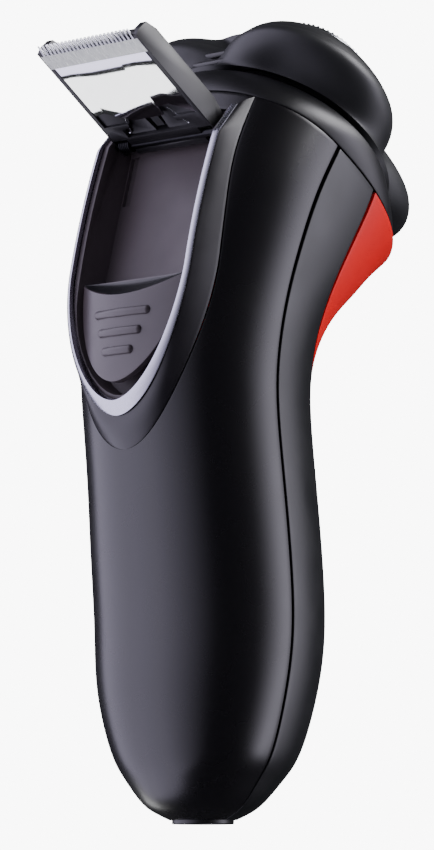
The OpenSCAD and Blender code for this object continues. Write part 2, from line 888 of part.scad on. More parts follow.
// Bracket that carries the motor below and the lower spindle bearings above
module motor_bracket() {
    color("#6a6d72")
        head_axes()
            difference() {
                union() {
                    translate([0, 0, bracket_z])
                        linear_extrude(bracket_t)
                            neck_plate(collar_wall + 3.6);
                    for (a = lobe_angles)
                        rotate([0, 0, 60 - a])
                            translate([0, post_ring, bracket_z])
                                cylinder(r = 2.4, h = floor_z - bracket_z);
                }
                for (a = lobe_angles) {
                    rotate([0, 0, -a])
                        translate([0, lobe_r, -20])
                            cylinder(r = spindle_pin_r + 0.05, h = 30);
                    rotate([0, 0, 60 - a])
                        translate([0, post_ring, floor_z - 4.2])
                            cylinder(r = 1.05, h = 10);
                }
                translate([0, 0, -20])
                    cylinder(r = 3.2, h = 30);
                for (side = [-1, 1])
                    translate([side*6.5, 0, -20])
                        cylinder(r = 0.85, h = 30);
            }
}

module motor() {
    color("#9ea1a6")
        head_axes()
            difference() {
                union() {
                    intersection() {
                        translate([0, 0, motor_top - motor_len])
                            cylinder(r = motor_r, h = motor_len);
                        translate([0, 0, motor_top - motor_len/2])
                            cube([4*motor_r, 2*motor_flat, motor_len + 2], center = true);
                    }
                    translate([0, 0, motor_top - slit])
                        cylinder(r = 3, h = 1.2);
                    translate([0, 0, motor_top - motor_len - 1.2])
                        cylinder(r = 3, h = 1.2 + slit);
                    for (side = [-1, 1])
                        translate([side*6 - 1, -0.25, motor_top - motor_len - 2.4])
                            cube([2, 0.5, 2.5]);
                }
                translate([0, 0, motor_top - 6])
                    cylinder(r = shaft_r + 0.05, h = 10);
                for (side = [-1, 1])
                    translate([side*6.5, 0, motor_top - 3])
                        cylinder(r = 0.8, h = 10);
            }
}

module motor_screws() {
    color("#b8babd")
        head_axes()
            for (side = [-1, 1])
                translate([side*6.5, 0, 0]) {
                    translate([0, 0, bracket_z + bracket_t])
                        cylinder(r = 1.5, h = 0.5);
                    translate([0, 0, motor_top - 2.6])
                        cylinder(r = 0.8, h = bracket_z + bracket_t - motor_top + 2.6 + slit);
                }
}

// ---------- inside the handle ----------

cell_z = 18;
cell_y = 3.6;
frame_low_y = -6.4;
frame_t = 1.8;
board_y = -12.4;
board_t = 1.2;

module inner_frame() {
    color("#c8c6c0")
        difference() {
            union() {
                plate_y(frame_low_y, frame_low_y + frame_t)
                    polygon([[-9, 17], [9, 17], [15, 24], [16, 40], [15, 94], [10, 99],
                        [-10, 99], [-15, 94], [-16, 40], [-15, 24]]);
                for (x = [-11, 11], z = [30, 92])
                    translate([x, frame_low_y + slit, z])
                        rotate([90, 0, 0])
                            cylinder(r = 2.2, h = frame_low_y - board_y - board_t + slit);
                translate([-14, frame_low_y + frame_t - slit, cell_z - 2])
                    cube([28, 10, 1.6]);
                translate([-14, frame_low_y + frame_t - slit, cell_z + cell_len + 0.4])
                    cube([28, 10, 1.6]);
            }
            for (x = [-11, 11], z = [30, 92])
                translate([x, 0, z])
                    rotate([90, 0, 0])
                        cylinder(r = 0.8, h = 20);
            translate([-6, -20, 74])
                cube([12, 30, 8]);
        }
}

module battery_cells() {
    for (side = [-1, 1])
        translate([side*(cell_d/2 + 0.2), cell_y, cell_z]) {
            color("#2f7a4b")
                cylinder(d = cell_d, h = cell_len - 1);
            color("silver")
                translate([0, 0, cell_len - 1 - slit])
                    cylinder(d = 5, h = 1);
        }
}

// Adhesive straps round each pair of cells
module battery_straps() {
    color("#d9cfa0")
        for (z = [28, 54])
            translate([0, cell_y, z])
                linear_extrude(6)
                    difference() {
                        strap_outline(cell_d/2 + 0.35);
                        strap_outline(cell_d/2 + 0.05);
                    }
}

module strap_outline(r) {
    for (side = [-1, 1])
        translate([side*(cell_d/2 + 0.2), 0])
            circle(r = r);
    square([cell_d + 0.4, 2*r], center = true);
}

module circuit_board() {
    color("#1e5a34")
        difference() {
            union() {
                plate_y(board_y, board_y + board_t)
                    polygon([[-9, 22], [9, 22], [13, 28], [14, 40], [14, 88], [11, 96],
                        [-11, 96], [-14, 88], [-14, 40], [-13, 28]]);
                translate([-5, board_y + board_t - slit, 40])
                    cube([10, 1.6, 7]);
                translate([4, board_y - 1.8 + slit, 36])
                    cube([6, 1.8, 9]);
                translate([-9, board_y - 1.2 + slit, 50])
                    cube([7, 1.2, 5]);
                translate([-1.5, board_y - 1 + slit, light_z - 1.5])
                    cube([3, 1, 3]);
            }
            for (x = [-11, 11], z = [30, 92])
                translate([x, 0, z])
                    rotate([90, 0, 0])
                        cylinder(r = 0.9, h = 20);
        }
}

// Push switch that the button's stem presses
module power_switch() {
    color("#303236")
        translate([0, board_y, button_z])
            rotate([90, 0, 0]) {
                translate([-3, -3, 0])
                    cube([6, 6, 1]);
                cylinder(r = 1.6, h = 1.2);
            }
}

module board_screws() {
    color("#b8babd")
        for (x = [-11, 11], z = [30, 92])
            translate([x, board_y, z])
                rotate([90, 0, 0]) {
                    cylinder(r = 1.6, h = 0.9);
                    translate([0, 0, -4])
                        cylinder(r = 0.8, h = 4 + slit);
                }
}

module lead(from, to) {
    run = to - from;
    translate(from)
        rotate([0, acos(run[2]/norm(run)), atan2(run[1], run[0])])
            cylinder(r = 0.5, h = norm(run), $fn = 16);
}

module battery_leads() {
    color("#a02020")
        for (side = [-1, 1])
            lead([side*5, 3.6, 70.7], [side*5, board_y + board_t + 0.4, 80]);
}

module motor_leads() {
    color("#202020")
        for (side = [-1, 1])
            lead([side*4, board_y + 4, 94], [side*5.6, -3.2, 112.5]);
}

// Inlet: a flat-ended plug with a keyed recess, and pins with a thicker root
socket_r = 6.3;
pin_r = 0.75;
pin_root_r = 1;
pin_foot = 1.5;
pin_step = 8.5;
module inlet_socket() {
    color("#0f0f10")
            difference() {
                union() {
                    cylinder(r = socket_r, h = 12);
                    translate([0, 0, 6])
                        cylinder(r = 8.4, h = 1.6);
                }
                translate([0, 0, -1])
                    linear_extrude(pin_step + 1.3)
                        union() {
                            square([4.6, 6], center = true);
                            for (side = [-1, 1])
                                translate([side*2.3, 0])
                                    circle(r = 3);
                        }
                for (side = [-1, 1])
                    translate([side*inlet_pitch/2, 0, 0])
                        cylinder(r = pin_root_r, h = 20);
            }
}

module inlet_pins() {
    color("#d9b65c")
        for (side = [-1, 1])
            translate([side*inlet_pitch/2, 0, 0]) {
                translate([0, 0, pin_foot])
                    cylinder(r = pin_r, h = pin_step - pin_foot);
                translate([0, 0, pin_step - slit])
                    cylinder(r = pin_root_r, h = 15 - pin_step);
            }
}

rear_cover();
front_cover();
front_panel();
power_button();
charge_light();
neck_collar();
trimmer_bezel();
trimmer_rim();
trimmer_tub();
trimmer_slide();
slide_spring();
trimmer_housing();
trimmer_comb();
trimmer_cutter();
trimmer_drive_arm();
trimmer_springs();
trimmer_hinge_pin();
hinge_spring();
head_frame();
head_base();
cutter_retainer();
retainer_latch();
guard(0);  // guard_1
guard(1);  // guard_2
guard(2);  // guard_3
cutter(0);  // cutter_1
cutter(1);  // cutter_2
cutter(2);  // cutter_3
chamber_floor();
spindle_seals();
chamber_screws();
drive_gear(0);  // drive_gear_1
drive_gear(1);  // drive_gear_2
drive_gear(2);  // drive_gear_3
drive_pinion();
motor();
motor_bracket();
motor_screws();
inner_frame();
battery_cells();
battery_straps();
circuit_board();
power_switch();
board_screws();
battery_leads();
motor_leads();
inlet_socket();
inlet_pins();
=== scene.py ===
import math

import bpy
from mathutils import Matrix, Vector


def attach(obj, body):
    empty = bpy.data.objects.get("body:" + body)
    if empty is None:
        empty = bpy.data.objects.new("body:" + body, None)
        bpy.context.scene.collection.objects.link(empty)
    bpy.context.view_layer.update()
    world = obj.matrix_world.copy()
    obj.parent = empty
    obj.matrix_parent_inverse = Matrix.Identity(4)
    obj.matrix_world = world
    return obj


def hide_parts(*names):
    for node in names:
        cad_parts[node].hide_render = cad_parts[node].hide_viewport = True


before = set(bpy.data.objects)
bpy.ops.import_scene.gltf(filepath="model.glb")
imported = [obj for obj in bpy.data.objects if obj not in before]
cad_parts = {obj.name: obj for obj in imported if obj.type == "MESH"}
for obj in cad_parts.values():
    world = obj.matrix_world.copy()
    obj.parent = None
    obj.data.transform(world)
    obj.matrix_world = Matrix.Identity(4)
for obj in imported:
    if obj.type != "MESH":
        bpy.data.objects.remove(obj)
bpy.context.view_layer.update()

# ---------- camera, floor and light ----------
# A studio: a long lens a little below the middle of the shaver, a pale floor well under
# it, soft boxes to the left, to the right and above, and a card for the trimmer's plate.

MM = 0.001
AIM = Vector((0, 0, 0.084))
CAMERA_TURN = math.radians(47)
CAMERA_DROP = math.radians(6)
CAMERA_DISTANCE = 1.0
FLOOR_LEVEL = -0.35
# How steeply a soft box fades beyond its plateau
FADE = 2.5


def linear(code):
    """sRGB hex colour as linear red, green, blue and alpha."""
    parts = [int(code[i:i + 2], 16) / 255 for i in (0, 2, 4)]
    return [*(c / 12.92 if c <= 0.04045 else ((c + 0.055) / 1.055) ** 2.4 for c in parts), 1]


def add(tree, kind, inputs=None, **settings):
    """Adds a node with its settings, and sets or links each of its inputs."""
    node = tree.nodes.new(kind)
    for key, value in settings.items():
        setattr(node, key, value)
    for socket, value in (inputs or {}).items():
        if isinstance(value, bpy.types.NodeSocket):
            tree.links.new(value, node.inputs[socket])
        else:
            node.inputs[socket].default_value = value
    return node


toward_camera = Vector((-math.sin(CAMERA_TURN) * math.cos(CAMERA_DROP),
                        math.cos(CAMERA_TURN) * math.cos(CAMERA_DROP), -math.sin(CAMERA_DROP)))
camera_right = Vector((-math.cos(CAMERA_TURN), -math.sin(CAMERA_TURN), 0))
camera_up = toward_camera.cross(camera_right)
lens = bpy.data.cameras.new("camera")
lens.sensor_fit = "VERTICAL"
lens.sensor_height = 36
lens.lens = 207.53
lens.shift_x = 0.01647
lens.shift_y = -0.016
camera = bpy.data.objects.new("camera", lens)
bpy.context.scene.collection.objects.link(camera)
camera.matrix_world = Matrix.Translation(AIM + toward_camera * CAMERA_DISTANCE) @ Matrix(
    (camera_right, camera_up, toward_camera)).transposed().to_4x4()
bpy.context.scene.camera = camera

bpy.ops.object.select_all(action="DESELECT")
bpy.ops.mesh.primitive_plane_add(size=4, location=(0, 0, FLOOR_LEVEL))
floor = bpy.context.object
floor.name = "floor"
paper = bpy.data.materials.new("matt_paper")
paper.use_nodes = True
paper.node_tree.nodes["Principled BSDF"].inputs["Base Color"].default_value = linear("e9e9ea")
paper.node_tree.nodes["Principled BSDF"].inputs["Roughness"].default_value = 0.8
floor.data.materials.append(paper)
floor.visible_glossy = False

world = bpy.data.worlds.new("studio")
world.use_nodes = True
world.node_tree.nodes.clear()
seen = add(world.node_tree, "ShaderNodeBackground", {"Color": linear("ffffff"), "Strength": 9.0})
room = add(world.node_tree, "ShaderNodeBackground", {"Color": linear("d8dae0"), "Strength": 0.05})
ray = add(world.node_tree, "ShaderNodeLightPath")
both = add(world.node_tree, "ShaderNodeMixShader",
           {0: ray.outputs["Is Camera Ray"], 1: room.outputs[0], 2: seen.outputs[0]})
add(world.node_tree, "ShaderNodeOutputWorld", {"Surface": both.outputs[0]})
bpy.context.scene.world = world


def softbox(name, side, height, distance, size, power, colour, plateau=None, aim=AIM):
    """Area light aimed at the shaver. side is its angle from the camera, to the right;
    plateau is the part of its width, from 0 to 1, at full strength; it fades out on both sides."""
    data = bpy.data.lights.new(name, "AREA")
    data.shape = "RECTANGLE"
    data.size, data.size_y = size
    data.energy = power
    data.color = linear(colour)[:3]
    flat = Vector((toward_camera.x, toward_camera.y, 0)).normalized()
    a, e = math.radians(side), math.radians(height)
    away = (flat * math.cos(a) + camera_right * math.sin(a)) * math.cos(e) + Vector((0, 0, math.sin(e)))
    lamp = bpy.data.objects.new(name, data)
    bpy.context.scene.collection.objects.link(lamp)
    facing = away.to_track_quat("Z", "Y").to_matrix().to_4x4()
    lamp.matrix_world = Matrix.Translation(aim + away * distance) @ facing
    if plateau is not None:
        data.use_nodes = True
        tree = data.node_tree
        tree.nodes.clear()
        place = add(tree, "ShaderNodeNewGeometry").outputs["Parametric"]
        across = add(tree, "ShaderNodeSeparateXYZ", {0: place}).outputs[0]
        rise = add(tree, "ShaderNodeMapRange", {"Value": across, "From Max": plateau[0]})
        fall = add(tree, "ShaderNodeMapRange", {"Value": across, "From Min": plateau[1], "To Min": 1.0,
                                                "To Max": 0.0})
        ramp = add(tree, "ShaderNodeMath", {0: rise.outputs[0], 1: fall.outputs[0]}, operation="MULTIPLY")
        glow = add(tree, "ShaderNodeMath", {0: ramp.outputs[0], 1: FADE}, operation="POWER")
        lit = add(tree, "ShaderNodeEmission", {"Color": linear(colour), "Strength": glow.outputs[0]})
        add(tree, "ShaderNodeOutputLight", {"Surface": lit.outputs[0]})


softbox("left_box", -72, 5, 0.4, (1.6, 1.4), 27, "e2dfec", (0.08, 0.5))
softbox("right_box", 80, 8, 0.5, (0.8, 1.2), 26, "e6e4ec", (0.5, 0.5))
softbox("top_box", 82, 42, 0.6, (0.4, 0.35), 4, "ffffff")
softbox("low_card", -143, -43, 0.6, (0.13, 0.13), 0.2, "ffffff", aim=Vector((0, 0.02, 0.15)))

# ---------- rear cover ----------
# The long half shell that the palm rests on, moulded in black ABS and lacquered: the
# gloss shows the soft boxes as soft-edged streaks. It clips to the front cover at the
# side seams and is open at the top for the trimmer.

# Height, seam y, tilt, half width, depth to the front, depth to the rear
SECTIONS = [
    (0.8, 0, 0, 6.6, 6.4, 6.4), (2.2, 0, 0, 9.6, 8.8, 8.8), (4.5, 0, 0, 12.7, 11.4, 11.4),
    (9, -0.4, 0, 16.2, 14.7, 14.7), (15, -0.8, 0, 19.8, 17.4, 17.4),
    (27, -1.2, 0, 23.2, 19.8, 19.8), (40, -1.7, 0, 24.5, 20.5, 20.5),
    (55, -0.8, 0, 24.6, 20.6, 20.6), (70, 0.6, 0, 24.2, 20.6, 20.4), (84, 2, 0, 24.1, 20.7, 20.4),
    (95, 1.9, 4, 24.6, 21.6, 21), (106, 0.4, 10, 25.6, 25.5, 21), (117, -2.4, 18, 26.8, 30.8, 21.5),
    (127, -6, 26, 27.8, 34.5, 22.3), (136.5, -11.1, 34, 28.4, 37.5, 21.7)]
TOP = len(SECTIONS) - 1
SQUARENESS = 2.3
SHELL_WALL = 2.0
# Half of the seam's gap, as an angle round the section
SEAM_GAP = 0.5
BEZEL_HALF = 20.2
BEZEL_FOOT = 8.33
BEZEL_SHOULDER = 11.36
OPENING_TOP = 144.8
# Share of an opening's outline that is its curved foot; straighter sides make up the rest
FOOT_SHARE = 0.62
# Power of the sine and of the cosine that draw the curved foot
FOOT_SPREAD = 1.1
FOOT_DROP = 1.11
SIDE_DRAW_IN = 0.1435


def curve_through(stations):
    """Natural cubic spline through the stations, as a function of the fractional index."""
    n = len(stations)
    tracks = []
    for values in zip(*stations):
        slope, weight = [0.0], [0.0]
        for i in range(1, n - 1):
            rest = 4 - weight[-1]
            weight.append(1 / rest)
            slope.append((6 * (values[i - 1] - 2 * values[i] + values[i + 1]) - slope[-1]) / rest)
        bend = [0.0] * n
        for i in range(n - 2, 0, -1):
            bend[i] = slope[i] - weight[i] * bend[i + 1]
        tracks.append((values, bend))

    def at(k):
        i = min(max(int(k), 0), n - 2)
        q, p = k - i, 1 - (k - i)
        return [p * v[i] + q * v[i + 1] + ((p ** 3 - p) * b[i] + (q ** 3 - q) * b[i + 1]) / 6
                for v, b in tracks]
    return at


section = curve_through(SECTIONS)


def power(v, p):
    """Power that keeps the sign."""
    return math.copysign(abs(v) ** p, v)


def skin(k, angle):
    """Point of the handle's surface at section k, in mm. 0 degrees is the +X seam, 90 the rear."""
    z, y, tilt, half, front, rear = section(k)
    s, c = math.sin(math.radians(angle)), math.cos(math.radians(angle))
    v = (rear if s >= 0 else front) * power(s, 2 / SQUARENESS)
    t = math.radians(tilt)
    return Vector((half * power(c, 2 / SQUARENESS), y + v * math.cos(t), z + v * math.sin(t)))


def angle_of(k, x):
    """Angle from the seam at which section k has that x."""
    return math.degrees(math.acos(min(abs(x) / section(k)[3], 1) ** (SQUARENESS / 2)))


def only(piece):
    """Selects the piece alone and makes it active."""
    bpy.ops.object.select_all(action="DESELECT")
    piece.select_set(True)
    bpy.context.view_layer.objects.active = piece


def sheet(name, cols, rows, place):
    """Grid primitive whose points go to place(u, v), in mm, with u and v from 0 to 1."""
    bpy.ops.object.select_all(action="DESELECT")
    bpy.ops.mesh.primitive_grid_add(x_subdivisions=cols, y_subdivisions=rows, size=2)
    piece = bpy.context.object
    piece.name = name
    for point in piece.data.vertices:
        point.co = place(round((point.co.x + 1) / 2 * cols) / cols,
                         round((point.co.y + 1) / 2 * rows) / rows) * MM
    return piece


def apply(piece, kind, **settings):
    """Adds a modifier and applies it."""
    only(piece)
    modifier = piece.modifiers.new(kind, kind)
    for key, value in settings.items():
        setattr(modifier, key, value)
    bpy.ops.object.modifier_apply(modifier=modifier.name)


def merge(piece, distance=0.004):
    """Merges points closer than the distance in mm."""
    only(piece)
    bpy.ops.object.mode_set(mode="EDIT")
    bpy.ops.mesh.select_all(action="SELECT")
    bpy.ops.mesh.remove_doubles(threshold=distance * MM)
    bpy.ops.object.mode_set(mode="OBJECT")


def mirrored(piece):
    """Adds the other half, across the middle plane."""
    apply(piece, "MIRROR", use_axis=(True, False, False), use_mirror_merge=True,
          merge_threshold=0.02 * MM)
    merge(piece)


def walled(piece, wall, edge):
    """Gives a sheet its wall, inwards, and rounds its edges."""
    apply(piece, "SOLIDIFY", thickness=wall * MM, offset=-1, use_even_offset=False)
    rounded(piece, edge, 3)


def rounded(piece, edge, segments=2, angle=40):
    """Rounds the edges that turn by more than the angle, edge mm wide."""
    apply(piece, "BEVEL", width=edge * MM, segments=segments, limit_method="ANGLE",
          angle_limit=math.radians(angle), use_clamp_overlap=True)
    smooth(piece)


def smooth(piece, angle=35):
    """Shades the faces smooth, except across edges that turn by more than the angle."""
    only(piece)
    bpy.ops.object.shade_smooth_by_angle(angle=math.radians(angle))


def join(piece, *others):
    """Joins the others into the piece."""
    only(piece)
    for other in others:
        other.select_set(True)
    bpy.ops.object.join()
    return piece


def settle(piece, body, slot, material, *nodes):
    """Paints the piece, and says what it rides on and stands for. The slot is not used."""
    piece.data.materials.clear()
    piece.data.materials.append(material)
    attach(piece, body)
    if nodes:
        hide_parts(*nodes)


def moulded(name, colour, other, roughness, grain, depth, drift=9.0, ior=1.5, spread=0.05):
    """Moulded plastic or rubber: its tone drifts from one colour to the other over drift mm,
    and grain mm of texture stands depth mm high and breaks up the gloss."""
    material = bpy.data.materials.new(name)
    material.use_nodes = True
    tree = material.node_tree
    tree.nodes.clear()
    place = add(tree, "ShaderNodeTexCoord").outputs["Object"]
    cloud = add(tree, "ShaderNodeTexNoise", {"Vector": place, "Scale": 1 / (drift * MM), "Detail": 3.0})
    fine = add(tree, "ShaderNodeTexNoise", {"Vector": place, "Scale": 1 / (grain * MM), "Detail": 2.0})
    tone = add(tree, "ShaderNodeMix", {0: cloud.outputs["Fac"], 6: linear(colour), 7: linear(other)},
               data_type="RGBA")
    gloss = add(tree, "ShaderNodeMapRange", {"Value": cloud.outputs["Fac"], "From Min": 0.3,
                "From Max": 0.7, "To Min": roughness - spread, "To Max": roughness + spread})
    relief = add(tree, "ShaderNodeBump", {"Height": fine.outputs["Fac"], "Strength": 1.0,
                                          "Distance": depth * MM})
    body = add(tree, "ShaderNodeBsdfPrincipled", {
        "Base Color": tone.outputs[2], "Roughness": gloss.outputs[0], "Normal": relief.outputs[0],
        "IOR": ior})
    add(tree, "ShaderNodeOutputMaterial", {"Surface": body.outputs[0]})
    return material


# Lacquered black ABS: near black with a violet cast where the light catches it.
black_lacquer = moulded("lacquered_abs_black", "100f12", "0c0b0d", 0.27, 0.4, 0.0006, spread=0.015)


def bezel_outline(t):
    """Edge of the opening in the cover, from its foot at 0 to its top at 1: section and x."""
    turn = min(t / FOOT_SHARE, 1) * math.pi / 2
    if t <= FOOT_SHARE:
        return (BEZEL_SHOULDER - (BEZEL_SHOULDER - BEZEL_FOOT) * math.cos(turn) ** FOOT_DROP,
                BEZEL_HALF * math.sin(turn))
    k = BEZEL_SHOULDER + (TOP - BEZEL_SHOULDER) * (t - FOOT_SHARE) / (1 - FOOT_SHARE)
    return k, BEZEL_HALF - SIDE_DRAW_IN * (k - BEZEL_SHOULDER) ** 2


def cover_point(u, v, foot_k, foot_v, outline, start, finish, crowd=1.0):
    """Point of a cover: u from the seam to the centre line or the opening, v going up.
    crowd gathers the rows toward the opening's foot."""
    if v <= foot_v:
        k0 = k1 = foot_k * v / foot_v
        reach = 90.0
    else:
        t = (v - foot_v) / (1 - foot_v)
        k0 = foot_k + (TOP - foot_k) * t ** crowd
        k1, x = outline(t)
        reach = angle_of(k1, x)
    swept = SEAM_GAP + (reach - SEAM_GAP) * u
    return skin(k0 + (k1 - k0) * u * u, start + (finish - start) * swept / 90)


rear = sheet("rear_shell", 44, 150, lambda u, v: cover_point(
    u, v, BEZEL_FOOT, 0.4, bezel_outline, 0, 90))
mirrored(rear)


def bridge_point(u, v):
    """Strip of the cover that spans the top of the opening, under the collar."""
    low = next(k / 50 for k in range(600, 701) if skin(k / 50, 90).z > OPENING_TOP)
    k = low + (TOP - low) * v
    start = angle_of(k, bezel_outline(1)[1] + 0.4)
    return skin(k, start + (180 - 2 * start) * u)


bridge = sheet("bridge", 40, 6, bridge_point)
join(rear, bridge)
walled(rear, SHELL_WALL, 0.22)
settle(rear, "handle", "shell_black", black_lacquer, "rear_cover")

# ---------- front cover and red panel ----------
# The other half shell, in satin black ABS, with a shield-shaped red panel let into it.
# The panel carries the power button and the charge light.

PANEL_GAP = 0.2
# The same gap as a part of a section's spacing at the panel's foot
PANEL_GAP_K = 0.013
# x and z of the panel's edge, from its foot to the collar
PANEL_OUTLINE = curve_through([(0, 53), (5.4, 56), (9.3, 61.5), (12, 68), (14.2, 76), (17, 85.5),
                               (20.6, 93.5), (23.2, 103.6), (25.2, 114), (27.2, 129)])


def front_k(x, z):
    """Section at which the front of the handle reaches height z at that x."""
    low, high = 5.0, float(TOP)
    for _ in range(24):
        k = (low + high) / 2
        if skin(k, -angle_of(k, x)).z < z:
            low = k
        else:
            high = k
    return (low + high) / 2


TRACK_STEPS = 30
PANEL_TRACK = [(front_k(*PANEL_OUTLINE(i / TRACK_STEPS)), PANEL_OUTLINE(i / TRACK_STEPS)[0])
               for i in range(9 * TRACK_STEPS + 1)]
PANEL_FOOT = PANEL_TRACK[0][0]
PANEL_ROWS = 90
ROWS_CROWD = 1.7


def panel_edge(t, gap=0.0):
    """Outline of the panel, from its foot at 0 to the collar at 1: section and x."""
    k = PANEL_FOOT + (TOP - PANEL_FOOT) * t ** ROWS_CROWD
    for (k0, x0), (k1, x1) in zip(PANEL_TRACK, PANEL_TRACK[1:]):
        if k <= k1:
            break
    x = x0 + (x1 - x0) * min((k - k0) / (k1 - k0), 1)
    return k + gap / PANEL_GAP * PANEL_GAP_K * (1 - t), max(x - gap, 0)


FRONT_ROWS = 70 + PANEL_ROWS
panel_outline = [panel_edge(i / PANEL_ROWS) for i in range(PANEL_ROWS + 1)]
inner_outline = [panel_edge(i / PANEL_ROWS, PANEL_GAP) for i in range(PANEL_ROWS + 1)]
front = sheet("front_shell", 40, FRONT_ROWS, lambda u, v: cover_point(
    u, v, PANEL_FOOT, 1 - PANEL_ROWS / FRONT_ROWS, lambda t: panel_outline[round(PANEL_ROWS * t)],
    180, 270, ROWS_CROWD))
mirrored(front)
walled(front, SHELL_WALL, 0.22)
# Satin black ABS, spark-eroded mould: a broad grey sheen instead of a sharp reflection.
black_satin = moulded("satin_abs_black", "131416", "0e0f10", 0.38, 0.25, 0.0015)
settle(front, "handle", "shell_front", black_satin, "front_cover")


def panel_point(u, v):
    k, x = inner_outline[round(PANEL_ROWS * v)]
    return skin(k, 180 + angle_of(k, x) + (90 - angle_of(k, x)) * u)


panel = sheet("red_panel", 30, PANEL_ROWS, panel_point)
merge(panel)
mirrored(panel)
apply(panel, "SOLIDIFY", thickness=SHELL_WALL * MM, offset=-1)


def rod(name, radius, low, high, axes=Matrix(), x=0.0, y=0.0, sides=64):
    """Cylinder primitive along the axes' z, from low to high, in mm."""
    bpy.ops.object.select_all(action="DESELECT")
    bpy.ops.mesh.primitive_cylinder_add(vertices=sides, radius=radius * MM, depth=(high - low) * MM,
                                        location=(x * MM, y * MM, (low + high) / 2 * MM))
    piece = bpy.context.object
    piece.name = name
    return in_axes(piece, axes)


def in_axes(piece, axes):
    """Moves the mesh into the axes, whose place is in mm, and leaves the object at the origin."""
    only(piece)
    bpy.ops.object.transform_apply()
    turned = axes.copy()
    turned.translation = axes.translation * MM
    piece.data.transform(turned)
    return piece


def cut(piece, *cutters):
    """Takes the cutters out of the piece."""
    for cutter in cutters:
        apply(piece, "BOOLEAN", operation="DIFFERENCE", solver="EXACT", object=cutter)
        bpy.data.objects.remove(cutter)


BUTTON_Z = 76.0
LIGHT_Z = 64.0
BUTTON_R = 6.0
BUTTON_PLAY = 0.25
LIGHT_BORE_R = 1.25
FRONT_AXES = Matrix.Rotation(math.radians(90), 4, "X")
cut(panel, rod("bore", BUTTON_R + BUTTON_PLAY, 8, 38, FRONT_AXES, y=BUTTON_Z),
    rod("bore", LIGHT_BORE_R, 8, 38, FRONT_AXES, y=LIGHT_Z, sides=32))
rounded(panel, 0.2)
# Red ABS, moulded in colour and polished: even satin gloss over a saturated red.
red_abs = moulded("polished_abs_red", "c00402", "b00301", 0.5, 0.4, 0.001, ior=1.38)
settle(panel, "handle", "panel_red", red_abs, "front_panel")


def revolved(name, profile, axes, x=0.0, y=0.0, steps=96):
    """Profile of (radius, height) points in mm turned about the axes' z, outside going up."""
    def place(u, v):
        r, z = profile[round(v * (len(profile) - 1))]
        turn = 2 * math.pi * u
        return Vector((x + r * math.cos(turn), y + r * math.sin(turn), z))
    piece = sheet(name, steps, len(profile) - 1, place)
    merge(piece, 0.002)
    return in_axes(piece, axes)


# The button is black ABS with a dished crown and a rounded shoulder, and stands in the
# panel on a stem; the light is a clear acrylic lens.
button = revolved("button", [(5.9, 15.5), (5.95, 18.5), (5.85, 18.9), (5.6, 19.2), (5.2, 19.35),
                             (4.9, 19.38), (4.5, 19.28), (3, 19.1), (1.4, 19.02), (0, 19)],
                  FRONT_AXES, y=BUTTON_Z)
apply(button, "SOLIDIFY", thickness=1.6 * MM, offset=-1)
smooth(button)
settle(button, "power_button", "button_black", black_satin, "power_button")

# ---------- bezel and bright rim ----------
# A sloping collar of satin ABS leads from the cover up to the rim of the trimmer bay. The
# rim is an ABS ring with a satin chrome plating, broad at the foot and thin up the sides.

RIM_HALF = 18.2
RIM_FOOT = 81.6
RIM_SHOULDER = 112.0
# Height at which the rim's sides turn forward, toward the collar
RIM_BEND = 138.5
# Share of what is left of the outline, above its foot, that the sides take up to the bend
SIDE_SHARE = 0.8


def rim_y(z):
    """How far to the rear the bay's edge lies at height z."""
    return 23.2 - ((z - 80) / 17.8) ** 2


def drop_edge(turn, half, foot):
    """Outline of the bay, from the foot at 0 to the shoulder at 90 degrees."""
    t = math.radians(turn)
    x = half * math.sin(t) ** FOOT_SPREAD
    z = RIM_SHOULDER - (RIM_SHOULDER - foot) * max(math.cos(t), 0) ** FOOT_DROP
    return Vector((x, rim_y(z), z))


def rim_edge(t, half, foot):
    """Outline of the rim, from its foot at 0 to its top at 1."""
    if t <= FOOT_SHARE:
        return drop_edge(90 * t / FOOT_SHARE, half, foot)
    s = (t - FOOT_SHARE) / (1 - FOOT_SHARE)
    if s <= SIDE_SHARE:
        z = RIM_SHOULDER + (RIM_BEND - RIM_SHOULDER) * s / SIDE_SHARE
        return Vector((half, rim_y(z), z))
    q = (s - SIDE_SHARE) / (1 - SIDE_SHARE)
    return Vector((half - 0.3 * q, rim_y(RIM_BEND) + (7 - rim_y(RIM_BEND)) * q, RIM_BEND + 6.1 * q))


def cover_edge(t, inset):
    """Edge of the cover's opening, moved inwards by the inset."""
    k, x = bezel_outline(t)
    return skin(k, angle_of(k, max(x - inset, 0)))


def bezel_point(u, v):
    low, high = cover_edge(v, 0.25), rim_edge(v, RIM_HALF, RIM_FOOT)
    return low + (high - low) * u + Vector((0, 0.45 * math.sin(math.pi * u), 0))


bezel = sheet("bezel", 10, 150, bezel_point)
mirrored(bezel)
walled(bezel, 1.5, 0.2)
# Satin ABS, finely textured: a little lighter and duller than the lacquered cover.
bezel_satin = moulded("satin_abs_bezel", "1c1a1e", "171519", 0.34, 0.25, 0.0015)
settle(bezel, "handle", "bezel_grey", bezel_satin, "trimmer_bezel")


